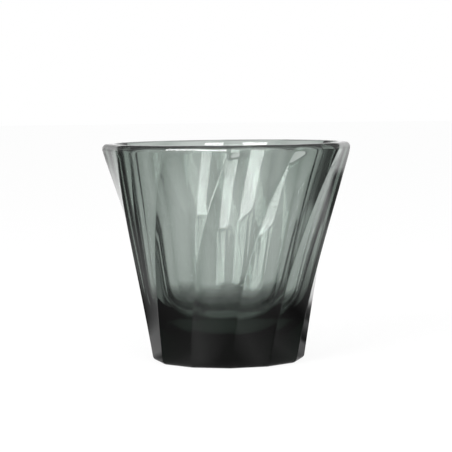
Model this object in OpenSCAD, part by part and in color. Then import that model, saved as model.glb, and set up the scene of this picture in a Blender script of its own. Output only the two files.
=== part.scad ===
// Espresso glass: a small tumbler pressed in one piece from smoked glass.
// Flat facets flare and twist from the foot to the lip, round a smooth bowl with a thick base.
// Millimetres, Z up, origin at the centre of the foot, front towards -Y.

/* [Outside] */
// Number of facets round the glass
facet_count = 12; // [8:1:16]
// Height from the table to the top of the lip
glass_h = 60; // [48:0.5:90]
// Width over opposite facet edges at the top, before the lip is rounded
rim_d = 69.6; // [60:0.1:80]
// Width of the foot over opposite facet edges
foot_d = 41.7; // [36:0.1:52]
// Share of the flare that is straight; the rest grows towards the lip
flare_even = 0.67; // [0.6:0.01:1]
// Degrees that the facets turn between the foot and the lip
facet_twist = 31.5; // [0:0.5:45]
// Share of the twist that is steady; the rest grows towards the lip
twist_even = 0.55; // [0.4:0.05:1]

/* [Edges] */
// Rounding of the edges between facets
arris_r = 0.7; // [0.3:0.1:1.2]
// Rounding that those edges grow to at the top of the lip, where the glass is melted smooth
lip_arris_r = 6; // [1.5:0.5:10]
// Height under the top of the lip over which they grow
melt_h = 5; // [3:0.5:8]
// Rounding round the underside of the foot
foot_edge_r = 1.1; // [0.5:0.1:2]
// Rounding of the lip on its outside
lip_outer_r = 1.9; // [0.8:0.1:2.2]
// Rounding of the lip on its inside
lip_inner_r = 1.1; // [0.5:0.1:1.5]

/* [Bowl] */
// Glass at the lip, from the bowl to the middle of a facet
lip_wall = 3.2; // [2.6:0.1:5]
// Glass at the height of the bowl's floor, from the side's line to the middle of a facet
heel_wall = 3.1; // [2.6:0.1:8]
// Height of the bowl's floor over the table
base_h = 8; // [6:0.5:16]
// Rounding between the bowl's side and its floor
bowl_round_r = 15.5; // [4:0.5:18]

/* [Underside] */
// Width of the shallow hollow under the foot
punt_d = 30; // [20:0.5:34]
// Depth of that hollow
punt_h = 0.8; // [0.4:0.1:2]

/* [Hidden] */

smoke = [0.40, 0.44, 0.42, 0.6];

// Rings of the loft in the foot's edge, up the facets and over the lip
foot_steps = 4;
side_steps = 36;
lip_steps = 5;
// Lengths that each ring's facet edges and facets are divided into
arris_steps = 3;
flat_steps = 2;
// Overlap of a cut past the face that it opens
cut = 1;
$fn = 96;

half_facet = 180 / facet_count;
// Both roundings of the lip have to fit on its wall
lip_fit = min(1, 0.95 * lip_wall / (lip_outer_r + lip_inner_r));
lip_out = lip_outer_r * lip_fit;
lip_in = lip_inner_r * lip_fit;

// The bowl's side is a straight line from where it would meet the floor to the mouth
floor_r = flat_r(base_h) - heel_wall;
mouth_r = flat_r(glass_h) - lip_wall;
side = [mouth_r - floor_r, glass_h - base_h];
up = side / norm(side);
outward = [up.y, -up.x];
// The rounding of the floor can be no larger than a full round bottom
bowl_round = min(bowl_round_r, 0.98 * floor_r * up.y / (1 - up.x));
round_centre = [floor_r - bowl_round * (1 - up.x) / up.y, base_h + bowl_round];
lip_centre = [mouth_r + lip_in * (1 - up.x) / up.y, glass_h - lip_in];

function eased(t, even) = even * t + (1 - even) * t * t;
function corner_r(z) = foot_d / 2 + (rim_d - foot_d) / 2 * eased(z / glass_h, flare_even);
function flat_r(z) = corner_r(z) * cos(half_facet);
function turn(z) = facet_twist * eased(z / glass_h, twist_even);
function edge_r(z) = arris_r + (lip_arris_r - arris_r) * pow(max(0, 1 - (glass_h - z) / melt_h), 2);
function polar(r, angle) = [r * cos(angle), r * sin(angle)];

// Height and inset of each ring: round the foot's edge, up the facets, over the lip
function levels() = concat(
    [for (i = [0 : foot_steps - 1]) let (b = 90 * i / foot_steps)
        [foot_edge_r * (1 - cos(b)), foot_edge_r * (1 - sin(b))]],
    [for (i = [0 : side_steps])
        [foot_edge_r + (glass_h - lip_out - foot_edge_r) * i / side_steps, 0]],
    [for (i = [1 : lip_steps]) let (b = 90 * i / lip_steps)
        [glass_h - lip_out * (1 - sin(b)), lip_out * (1 - cos(b))]]
);

// Rounded corner of a ring, as points on an arc that runs from facet to facet
function corner(angle, apothem, r) = [for (s = [0 : arris_steps])
    polar((apothem - r) / cos(half_facet), angle)
    + polar(r, angle + half_facet * (2 * s / arris_steps - 1))];

// One ring of the outside: a regular polygon with rounded corners, turned by the twist
function ring(z, inset) = let (apothem = flat_r(z) - inset, r = edge_r(z)) [
    for (k = [0 : facet_count - 1])
        let (
            here = corner(turn(z) + 2 * half_facet * k, apothem, r),
            next = corner(turn(z) + 2 * half_facet * (k + 1), apothem, r)
        )
        for (p = concat(here, [for (s = [1 : flat_steps - 1])
            here[arris_steps] + (next[0] - here[arris_steps]) * s / flat_steps]))
            [p.x, p.y, z]
];

// Solid inside the facets, lofted through the rings
module facet_loft() {
    rings = [for (level = levels()) ring(level[0], level[1])];
    count = len(rings[0]);
    last = (len(rings) - 1) * count;
    sides = [for (i = [0 : len(rings) - 2], j = [0 : count - 1])
        let (a = i * count + j, b = i * count + (j + 1) % count)
            each [[a, a + count, b], [b, a + count, b + count]]];
    bottom = [for (j = [0 : count - 1]) j];
    top = [for (j = [0 : count - 1]) last + count - 1 - j];
    polyhedron([for (r = rings) each r], concat(sides, [bottom, top]));
}

// Half outline of the bowl: floor, round heel, straight side and the lip's inner rounding
module bowl_outline() {
    difference() {
        polygon([
            [0, base_h],
            [round_centre.x, base_h],
            round_centre + bowl_round * outward,
            lip_centre - lip_in * outward,
            lip_centre,
            [lip_centre.x, glass_h + cut],
            [0, glass_h + cut]
        ]);
        translate(lip_centre) circle(lip_in);
    }
    intersection() {
        translate(round_centre) circle(bowl_round);
        translate([0, base_h]) square(2 * bowl_round + round_centre.x);
    }
}

// Shallow dish under the foot, so that the glass stands on a ring
module punt() {
    dish_r = (pow(punt_d / 2, 2) + pow(punt_h, 2)) / (2 * punt_h);
    rotate_extrude() intersection() {
        translate([0, punt_h - dish_r]) circle(dish_r, $fn = 720);
        translate([0, -cut]) square([punt_d, punt_h + cut]);
    }
}

module glass_body() {
    color(smoke) difference() {
        facet_loft();
        rotate_extrude() bowl_outline();
        punt();
    }
}

glass_body();
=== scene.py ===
import math

import bmesh
import bpy
from mathutils import Matrix, Vector


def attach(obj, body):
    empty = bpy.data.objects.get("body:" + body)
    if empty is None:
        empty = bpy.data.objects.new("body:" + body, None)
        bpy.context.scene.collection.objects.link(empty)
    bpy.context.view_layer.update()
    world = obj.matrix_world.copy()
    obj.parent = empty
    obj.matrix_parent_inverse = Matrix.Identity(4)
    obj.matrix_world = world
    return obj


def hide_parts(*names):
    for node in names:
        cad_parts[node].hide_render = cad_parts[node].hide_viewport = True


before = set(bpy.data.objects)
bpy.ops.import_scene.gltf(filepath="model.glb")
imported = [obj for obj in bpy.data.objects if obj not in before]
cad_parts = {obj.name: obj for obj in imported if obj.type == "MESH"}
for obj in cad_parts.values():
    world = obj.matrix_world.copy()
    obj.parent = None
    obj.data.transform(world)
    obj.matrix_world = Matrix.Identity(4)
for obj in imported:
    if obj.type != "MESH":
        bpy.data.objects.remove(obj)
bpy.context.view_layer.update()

# Glass body
# The whole glass is one piece of grey smoked glass, pressed in a twisted mould round a plunger.
# Twelve flat facets flare and turn from the foot to the lip, round a smooth bowl with a thick base.
# Fire polishing has softened the lip, the foot and the edges between the facets.

facet_count = 12
glass_height = 0.060
rim_radius = 0.03478
foot_radius = 0.02085
even_flare = 0.67
facet_twist = math.radians(31.5)
even_twist = 0.55

facet_edge_radius = 0.0007
lip_facet_edge_radius = 0.006
melted_height = 0.005
foot_edge_radius = 0.0011
lip_outer_radius = 0.0019
lip_inner_radius = 0.0011

lip_wall = 0.0032
heel_wall = 0.0031
bowl_floor_height = 0.008
bowl_round_radius = 0.0155
hollow_radius = 0.015
hollow_depth = 0.0008

foot_rings = 6
side_rings = 64
lip_rings = 12
facet_columns = 16
facet_edge_columns = 4
floor_steps = 4
heel_steps = 28
wall_steps = 36
inner_lip_steps = 10
hollow_steps = 8
columns = facet_count * (facet_columns + facet_edge_columns)
half_facet = math.pi / facet_count


def eased(share, even):
    return even * share + (1 - even) * share * share


def facet_distance(height):
    corner = foot_radius + (rim_radius - foot_radius) * eased(height / glass_height, even_flare)
    return corner * math.cos(half_facet)


def facet_turn(height):
    return facet_twist * eased(height / glass_height, even_twist)


def edge_ring(share, radius, height, direction):
    angle = math.pi / 2 * share
    return height + direction * radius * math.sin(angle), radius * (1 - math.cos(angle))


def facet_edge(height):
    rise = max(0, 1 - (glass_height - height) / melted_height)
    return facet_edge_radius + (lip_facet_edge_radius - facet_edge_radius) * rise ** 2


def ring_radius(angle, distance, edge_radius):
    aside = abs((angle + half_facet) % (2 * half_facet) - half_facet)
    if distance * math.tan(half_facet - aside) < (distance - edge_radius) * math.tan(half_facet):
        return distance / math.cos(half_facet - aside)
    centre = (distance - edge_radius) / math.cos(half_facet)
    return centre * math.cos(aside) + math.sqrt(edge_radius ** 2 - (centre * math.sin(aside)) ** 2)


def new_edges(mesh, known):
    return [edge for edge in mesh.edges if edge not in known]


def line_to(mesh, vert, point):
    end = bmesh.ops.extrude_vert_indiv(mesh, verts=[vert])["verts"][0]
    bmesh.ops.translate(mesh, verts=[end], vec=Vector(point) - end.co)
    return end


def divided_line(mesh, vert, point, parts):
    start = vert.co.copy()
    for part in range(1, parts + 1):
        vert = line_to(mesh, vert, start.lerp(Vector(point), part / parts))
    return vert


def arc_about(mesh, vert, centre, angle, steps):
    turned = bmesh.ops.spin(mesh, geom=[vert], cent=centre, axis=(0, 1, 0), angle=angle, steps=steps)
    return next(item for item in turned["geom_last"] if isinstance(item, bmesh.types.BMVert))


def turn_profile(mesh, known):
    edges = new_edges(mesh, known)
    verts = list({vert for edge in edges for vert in edge.verts})
    bmesh.ops.spin(
        mesh, geom=verts + edges, cent=(0, 0, 0), axis=(0, 0, 1), angle=2 * math.pi,
        steps=columns, use_merge=True,
    )


def open_edges_at(mesh, height):
    level = 0.00005
    return [
        edge for edge in mesh.edges
        if edge.is_boundary and all(abs(vert.co.z - height) < level for vert in edge.verts)
    ]


# Height and inset of every ring of the mould: round the foot, up the facets and over the lip
side_bottom = foot_edge_radius
side_top = glass_height - lip_outer_radius
rings = [edge_ring(1 - step / foot_rings, foot_edge_radius, side_bottom, -1) for step in range(foot_rings)]
rings += [(side_bottom + (side_top - side_bottom) * step / side_rings, 0) for step in range(side_rings + 1)]
rings += [edge_ring(step / lip_rings, lip_outer_radius, side_top, 1) for step in range(1, lip_rings)]

body = bmesh.new()
first_height, first_inset = rings[0]
distance = facet_distance(first_height) - first_inset
turn = facet_turn(first_height)
polygon = bmesh.ops.create_circle(
    body, segments=facet_count, radius=distance / math.cos(half_facet), cap_ends=True
)
bmesh.ops.bevel(
    body, geom=polygon["verts"], offset=facet_edge_radius * math.tan(half_facet), offset_type="OFFSET",
    segments=facet_edge_columns, profile=0.5, affect="VERTICES", material=-1,
)
flats = [edge for edge in body.edges if edge.calc_length() > facet_edge_radius]
bmesh.ops.subdivide_edges(body, edges=flats, cuts=facet_columns - 1)
bmesh.ops.delete(body, geom=body.faces[:], context="FACES_ONLY")
ring = body.edges[:]
below = first_height
for height, inset in rings[1:]:
    grown = bmesh.ops.extrude_edge_only(body, edges=ring)["geom"]
    verts = [item for item in grown if isinstance(item, bmesh.types.BMVert)]
    ring = [item for item in grown if isinstance(item, bmesh.types.BMEdge)]
    new_distance = facet_distance(height) - inset
    new_turn = facet_turn(height)
    growth = new_distance / distance
    bmesh.ops.scale(body, verts=verts, vec=(growth, growth, 1))
    bmesh.ops.rotate(body, verts=verts, cent=(0, 0, 0), matrix=Matrix.Rotation(new_turn - turn, 3, "Z"))
    bmesh.ops.translate(body, verts=verts, vec=(0, 0, height - below))
    if height > glass_height - melted_height:
        for vert in verts:
            angle = math.atan2(vert.co.y, vert.co.x) - new_turn
            vert.co.xy = vert.co.xy.normalized() * ring_radius(angle, new_distance, facet_edge(height))
    distance, turn, below = new_distance, new_turn, height

# The bowl is turned from a half outline: floor, round heel, straight side and the lip's inner rounding
floor_radius = facet_distance(bowl_floor_height) - heel_wall
mouth_radius = facet_distance(glass_height) - lip_wall
lean = math.atan2(mouth_radius - floor_radius, glass_height - bowl_floor_height)
setback = (1 - math.sin(lean)) / math.cos(lean)
heel_centre = Vector((floor_radius - bowl_round_radius * setback, 0, bowl_floor_height + bowl_round_radius))
lip_centre = Vector((mouth_radius + lip_inner_radius * setback, 0, glass_height - lip_inner_radius))
across_wall = Vector((math.cos(lean), 0, -math.sin(lean)))

outside = set(body.edges)
tip = body.verts.new((0, 0, bowl_floor_height))
tip = divided_line(body, tip, (heel_centre.x, 0, bowl_floor_height), floor_steps)
tip = arc_about(body, tip, heel_centre, lean - math.pi / 2, heel_steps)
tip = divided_line(body, tip, lip_centre - lip_inner_radius * across_wall, wall_steps)
tip = arc_about(body, tip, lip_centre, math.pi / 2 - lean, inner_lip_steps)
turn_profile(body, outside)

# The shallow hollow under the foot is part of a large sphere, just clear of the table all round
hollow_lift = 0.00001
dome_radius = (hollow_radius ** 2 + hollow_depth ** 2) / (2 * hollow_depth)
dome_angle = math.asin(hollow_radius / dome_radius)
outside = set(body.edges)
tip = body.verts.new((0, 0, hollow_depth + hollow_lift))
arc_about(body, tip, (0, 0, hollow_depth + hollow_lift - dome_radius), dome_angle, hollow_steps)
turn_profile(body, outside)

# The foot ring and the top of the lip close the skin between the outside, the bowl and the hollow
merge_distance = 0.000001
bmesh.ops.remove_doubles(body, verts=body.verts, dist=merge_distance)
bmesh.ops.bridge_loops(body, edges=open_edges_at(body, glass_height))
bmesh.ops.bridge_loops(body, edges=open_edges_at(body, 0))
bmesh.ops.recalc_face_normals(body, faces=body.faces)
for face in body.faces:
    face.smooth = True

glass_mesh = bpy.data.meshes.new("pressed_glass")
body.to_mesh(glass_mesh)
body.free()
glass = bpy.data.objects.new("pressed_glass", glass_mesh)
bpy.context.scene.collection.objects.link(glass)

glass_ior = 1.52
smoke_density = 248
smoke_colour = (0.2, 0.292, 0.238, 1)
pale_streak = (1, 1, 1, 1)
dark_streak = (0.94, 0.96, 0.95, 1)
streak_length = 0.05
streak_width = 0.012
wave_length = 0.016
ripple_length = 0.004
ripple_share = 0.15
wave_depth = 0.00002
scuff_length = 0.0008
scuff_height = 0.0004
scuff_roughness = 0.3

smoked_glass = bpy.data.materials.new("smoked_glass")
smoked_glass.use_nodes = True
nodes = smoked_glass.node_tree.nodes
links = smoked_glass.node_tree.links
shader = nodes["Principled BSDF"]
shader.inputs["IOR"].default_value = glass_ior
shader.inputs["Transmission Weight"].default_value = 1
place = nodes.new("ShaderNodeTexCoord")

# The colour is in the mass of the glass, so thick glass is darker
smoke = nodes.new("ShaderNodeVolumeAbsorption")
smoke.inputs["Density"].default_value = smoke_density
smoke.inputs["Color"].default_value = smoke_colour
links.new(smoke.outputs["Volume"], nodes["Material Output"].inputs["Volume"])

# The melt is not quite even: faint streaks run up the wall
drawn = nodes.new("ShaderNodeMapping")
drawn.inputs["Scale"].default_value = (1 / streak_width, 1 / streak_width, 1 / streak_length)
links.new(place.outputs["Object"], drawn.inputs["Vector"])
melt = nodes.new("ShaderNodeTexNoise")
melt.inputs["Scale"].default_value = 1
melt.inputs["Detail"].default_value = 3
links.new(drawn.outputs["Vector"], melt.inputs["Vector"])
tint = nodes.new("ShaderNodeMix")
tint.data_type = "RGBA"
tint.inputs["A"].default_value = dark_streak
tint.inputs["B"].default_value = pale_streak
links.new(melt.outputs["Fac"], tint.inputs["Factor"])
links.new(tint.outputs["Result"], shader.inputs["Base Color"])

# The skin has the mould's slow waves and a finer ripple from the chill of the press
waves = nodes.new("ShaderNodeTexNoise")
waves.inputs["Scale"].default_value = 1 / wave_length
waves.inputs["Detail"].default_value = 0
links.new(place.outputs["Object"], waves.inputs["Vector"])
ripple = nodes.new("ShaderNodeTexNoise")
ripple.inputs["Scale"].default_value = 1 / ripple_length
ripple.inputs["Detail"].default_value = 1
links.new(place.outputs["Object"], ripple.inputs["Vector"])
skin = nodes.new("ShaderNodeMath")
skin.operation = "MULTIPLY_ADD"
skin.inputs[1].default_value = ripple_share
links.new(ripple.outputs["Fac"], skin.inputs[0])
links.new(waves.outputs["Fac"], skin.inputs[2])
bump = nodes.new("ShaderNodeBump")
bump.inputs["Distance"].default_value = wave_depth
links.new(skin.outputs[0], bump.inputs["Height"])
links.new(bump.outputs["Normal"], shader.inputs["Normal"])

# Tables have scuffed the ring that the glass stands on; all the rest is fire-polished
upward = nodes.new("ShaderNodeSeparateXYZ")
links.new(place.outputs["Object"], upward.inputs[0])
foot = nodes.new("ShaderNodeMapRange")
foot.inputs["From Min"].default_value = scuff_height
foot.inputs["From Max"].default_value = 0
links.new(upward.outputs["Z"], foot.inputs["Value"])
scuffs = nodes.new("ShaderNodeTexNoise")
scuffs.inputs["Scale"].default_value = 1 / scuff_length
scuffs.inputs["Detail"].default_value = 4
links.new(place.outputs["Object"], scuffs.inputs["Vector"])
worn = nodes.new("ShaderNodeMath")
worn.operation = "MULTIPLY"
links.new(foot.outputs["Result"], worn.inputs[0])
links.new(scuffs.outputs["Fac"], worn.inputs[1])
rough = nodes.new("ShaderNodeMath")
rough.operation = "MULTIPLY"
rough.inputs[1].default_value = scuff_roughness
links.new(worn.outputs[0], rough.inputs[0])
links.new(rough.outputs[0], shader.inputs["Roughness"])
glass_mesh.materials.append(smoked_glass)

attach(glass, "root")
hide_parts("glass_body")

# Table
# A wide white table top, which runs out of sight behind the glass and keeps its shadow.
# In the glass it shows painted light and shade, not studio light: a painted shadow close by,
# brighter further out, and painted dark bands along both sides in place of two black flags,
# which the scene does not build.

table_gap = 0.0001
table_half_width = 4.0
table_white = 0.88
table_paint = (0.85, 0.85, 0.85, 1)
paint_roughness = 0.8
# Painted shadow round the foot: where it starts and ends fading out, and its level
foot_edge = 0.016
clear_of_foot = 0.026
painted_foot_shadow = 0.4
dim_until = 0.04
bright_from = 0.165
# Painted shade of the flags: where it starts across the table, and where it is full
painted_flag_shade_from = 0.15
painted_flag_shade_full = 0.185

# Painted light and shade: degrees to the right of straight behind the glass, with the level painted there
painted_near_light = (
    (-168, 0.2), (-156, 0.6), (-124, 0.22), (-90, 0.06), (-75, 0.42), (-56, 0.42), (-50, 0.02), (-29, 0.02),
    (-22, 0.22), (22, 0.22), (29, 0.02), (50, 0.02), (56, 0.2), (75, 0.2), (90, 0.05), (115, 0.28),
    (140, 0.15), (156, 0.44), (168, 0.2),
)
# Painted light further out from the glass
painted_far_light = (
    (-130, 1.5), (-108, 0.6), (-85, 0.2), (-69, 0.2), (-63, 0.4), (-54, 0.4), (-49, 0.02), (-31, 0.02),
    (-22, 0.95), (22, 0.88), (26, 0.08), (32, 0.08), (36, 0.85), (48, 0.85), (60, 0.7), (84, 0.7),
    (91, 0.2), (102, 0.2), (115, 0.8), (130, 1.5),
)
# Painted shade of the flags, out at both sides
painted_flag_shade_levels = (
    (-130, 1.6), (-110, 0.8), (-85, 0.5), (-68, 1.1), (-59, 1.1), (-53, 0.2), (-46, 0.02), (-33, 0.02),
    (-30.5, 0.8), (-22.5, 0.88), (0, 0.92), (15, 0.95), (24, 0.8), (35, 0.8), (38.5, 0.12), (62, 0.12),
    (70, 0.3), (105, 0.3), (115, 0.8), (130, 1.6),
)


def light_round_glass(nodes, links, direction, levels):
    parts = nodes.new("ShaderNodeSeparateXYZ")
    links.new(direction, parts.inputs[0])
    turn = nodes.new("ShaderNodeMath")
    turn.operation = "ARCTAN2"
    links.new(parts.outputs["X"], turn.inputs[0])
    links.new(parts.outputs["Y"], turn.inputs[1])
    share = nodes.new("ShaderNodeMath")
    share.operation = "MULTIPLY_ADD"
    share.inputs[1].default_value = 0.5 / math.pi
    share.inputs[2].default_value = 0.5
    links.new(turn.outputs[0], share.inputs[0])
    ramp = nodes.new("ShaderNodeValToRGB")
    links.new(share.outputs[0], ramp.inputs["Fac"])
    stops = ramp.color_ramp.elements
    stops.remove(stops[1])
    for number, (degrees, level) in enumerate(levels):
        at = 0.5 + degrees / 360
        stop = stops.new(at) if number else stops[0]
        stop.position = at
        stop.color = (level, level, level, 1)
    return ramp.outputs["Color"]


def blend(nodes, links, value, start, end, first, second):
    step = nodes.new("ShaderNodeMapRange")
    step.interpolation_type = "SMOOTHSTEP"
    step.inputs["From Min"].default_value = start
    step.inputs["From Max"].default_value = end
    links.new(value, step.inputs["Value"])
    mixed = nodes.new("ShaderNodeMix")
    mixed.data_type = "RGBA"
    links.new(step.outputs["Result"], mixed.inputs["Factor"])
    links.new(first, mixed.inputs["A"])
    links.new(second, mixed.inputs["B"])
    return mixed.outputs["Result"]


top = bmesh.new()
bmesh.ops.create_grid(top, x_segments=1, y_segments=1, size=table_half_width)
bmesh.ops.translate(top, verts=top.verts, vec=(0, 0, -table_gap))
table_mesh = bpy.data.meshes.new("table")
top.to_mesh(table_mesh)
top.free()
table = bpy.data.objects.new("table", table_mesh)
bpy.context.scene.collection.objects.link(table)

white_top_painted_shade = bpy.data.materials.new("white_table_top_painted_shade")
white_top_painted_shade.use_nodes = True
nodes = white_top_painted_shade.node_tree.nodes
links = white_top_painted_shade.node_tree.links
paint = nodes["Principled BSDF"]
paint.inputs["Base Color"].default_value = table_paint
paint.inputs["Roughness"].default_value = paint_roughness
path = nodes.new("ShaderNodeLightPath")

# White to the camera, with some of the paint so that the shadow shows
white = nodes.new("ShaderNodeEmission")
to_camera = nodes.new("ShaderNodeMath")
to_camera.operation = "MULTIPLY"
to_camera.inputs[1].default_value = table_white
links.new(path.outputs["Is Camera Ray"], to_camera.inputs[0])
picture = nodes.new("ShaderNodeMixShader")
links.new(to_camera.outputs[0], picture.inputs[0])
links.new(paint.outputs[0], picture.inputs[1])
links.new(white.outputs[0], picture.inputs[2])

# Where it is mirrored in the glass or seen through it, it glows with painted light and shade
spot = nodes.new("ShaderNodeTexCoord").outputs["Object"]
away = nodes.new("ShaderNodeVectorMath")
away.operation = "LENGTH"
links.new(spot, away.inputs[0])
near = light_round_glass(nodes, links, spot, painted_near_light)
far = light_round_glass(nodes, links, spot, painted_far_light)
painted_flag_shade = light_round_glass(nodes, links, spot, painted_flag_shade_levels)
across = nodes.new("ShaderNodeSeparateXYZ")
links.new(spot, across.inputs[0])
aside = nodes.new("ShaderNodeMath")
aside.operation = "ABSOLUTE"
links.new(across.outputs["X"], aside.inputs[0])
# Painted shadow right round the foot, fading out into the near levels
shade = nodes.new("ShaderNodeRGB")
shade.outputs[0].default_value = (painted_foot_shadow, painted_foot_shadow, painted_foot_shadow, 1)
near = blend(nodes, links, away.outputs["Value"], foot_edge, clear_of_foot, shade.outputs[0], near)
painted_table_light = blend(nodes, links, away.outputs["Value"], dim_until, bright_from, near, far)
# Painted shade of the flags along both sides, where no flags stand
painted_table_light = blend(nodes, links, aside.outputs[0], painted_flag_shade_from, painted_flag_shade_full, painted_table_light, painted_flag_shade)
# The table glows with this painted light and shade; no lamp lights this part
painted_glow = nodes.new("ShaderNodeEmission")
links.new(painted_table_light, painted_glow.inputs["Color"])
in_glass = nodes.new("ShaderNodeMath")
in_glass.operation = "MAXIMUM"
links.new(path.outputs["Is Glossy Ray"], in_glass.inputs[0])
links.new(path.outputs["Is Transmission Ray"], in_glass.inputs[1])
mix = nodes.new("ShaderNodeMixShader")
links.new(in_glass.outputs[0], mix.inputs[0])
links.new(picture.outputs[0], mix.inputs[1])
links.new(painted_glow.outputs[0], mix.inputs[2])
links.new(mix.outputs[0], nodes["Material Output"].inputs["Surface"])
table_mesh.materials.append(white_top_painted_shade)

# Studio light
# Two softboxes stand in front of the glass and a little above it, one on each side of the camera.
# The room is white behind the glass, brighter at the sides and in front, and dimmer higher up behind.

low_room = ((-130, 1.7), (-90, 1.2), (-50, 1.1), (-25, 1), (25, 1), (50, 1.1), (90, 1.2), (130, 1.7))
high_room = (
    (-130, 1.5), (-110, 0.8), (-55, 0.8), (-48, 0.3), (-28, 0.3), (-23, 0.62), (25, 0.62), (40, 0.3),
    (48, 0.3), (55, 0.8), (110, 0.8), (130, 1.5),
)
low_until = math.sin(math.radians(7))
high_from = math.sin(math.radians(20))
ceiling_from = math.sin(math.radians(45))
ceiling_full = math.sin(math.radians(75))
ceiling = 1.0

world = bpy.data.worlds.new("studio")
bpy.context.scene.world = world
world.use_nodes = True
nodes = world.node_tree.nodes
links = world.node_tree.links
way = nodes.new("ShaderNodeTexCoord").outputs["Generated"]
rise = nodes.new("ShaderNodeSeparateXYZ")
links.new(way, rise.inputs[0])
low = light_round_glass(nodes, links, way, low_room)
high = light_round_glass(nodes, links, way, high_room)
overhead = nodes.new("ShaderNodeRGB")
overhead.outputs[0].default_value = (ceiling, ceiling, ceiling, 1)
walls = blend(nodes, links, rise.outputs["Z"], low_until, high_from, low, high)
room = blend(nodes, links, rise.outputs["Z"], ceiling_from, ceiling_full, walls, overhead.outputs[0])
path = nodes.new("ShaderNodeLightPath")
backdrop = nodes.new("ShaderNodeMix")
backdrop.data_type = "RGBA"
backdrop.inputs["B"].default_value = (1, 1, 1, 1)
links.new(path.outputs["Is Camera Ray"], backdrop.inputs["Factor"])
links.new(room, backdrop.inputs["A"])
links.new(backdrop.outputs["Result"], nodes["Background"].inputs["Color"])


def softbox(name, azimuth, elevation, distance, width, height, watts):
    lamp = bpy.data.lights.new(name, "AREA")
    lamp.shape = "RECTANGLE"
    lamp.size = width
    lamp.size_y = height
    lamp.energy = watts
    box = bpy.data.objects.new(name, lamp)
    bpy.context.scene.collection.objects.link(box)
    across = math.radians(azimuth)
    up = math.radians(elevation)
    way = Vector((math.sin(across) * math.cos(up), -math.cos(across) * math.cos(up), math.sin(up)))
    box.location = Vector((0, 0, glass_height / 2)) + distance * way
    box.rotation_euler = way.to_track_quat("Z", "Y").to_euler()


softbox("right_softbox", azimuth=13, elevation=25.9, distance=1.0, width=0.33, height=0.37, watts=4.4)
softbox("left_softbox", azimuth=-34.8, elevation=20.9, distance=1.0, width=0.45, height=0.57, watts=10.6)

# Camera
# A long lens a little above the rim, turned slightly so that the facets fall as in the photograph.
# Light crosses many skins of glass on its way to it, so it may turn more often than usual.

camera_distance = 0.58106
camera_height = 0.0748
camera_turn = math.radians(-1.08)
camera_yaw = math.radians(0.0346)
camera_pitch = math.radians(86.273)
camera_roll = math.radians(-0.64)
lens_length = 168.06
glass_bounces = 24
mirror_bounces = 12

lens = bpy.data.cameras.new("camera")
lens.sensor_width = 36
lens.lens = lens_length
lens.clip_start = 0.01
camera = bpy.data.objects.new("camera", lens)
bpy.context.scene.collection.objects.link(camera)
camera.matrix_world = (
    Matrix.Rotation(camera_turn, 4, "Z")
    @ Matrix.Translation((0, -camera_distance, camera_height))
    @ Matrix.Rotation(camera_yaw, 4, "Z")
    @ Matrix.Rotation(camera_pitch, 4, "X")
    @ Matrix.Rotation(camera_roll, 4, "Z")
)
bpy.context.scene.camera = camera
bpy.context.scene.view_settings.view_transform = "Standard"
bpy.context.scene.cycles.max_bounces = glass_bounces
bpy.context.scene.cycles.transmission_bounces = glass_bounces
bpy.context.scene.cycles.glossy_bounces = mirror_bounces
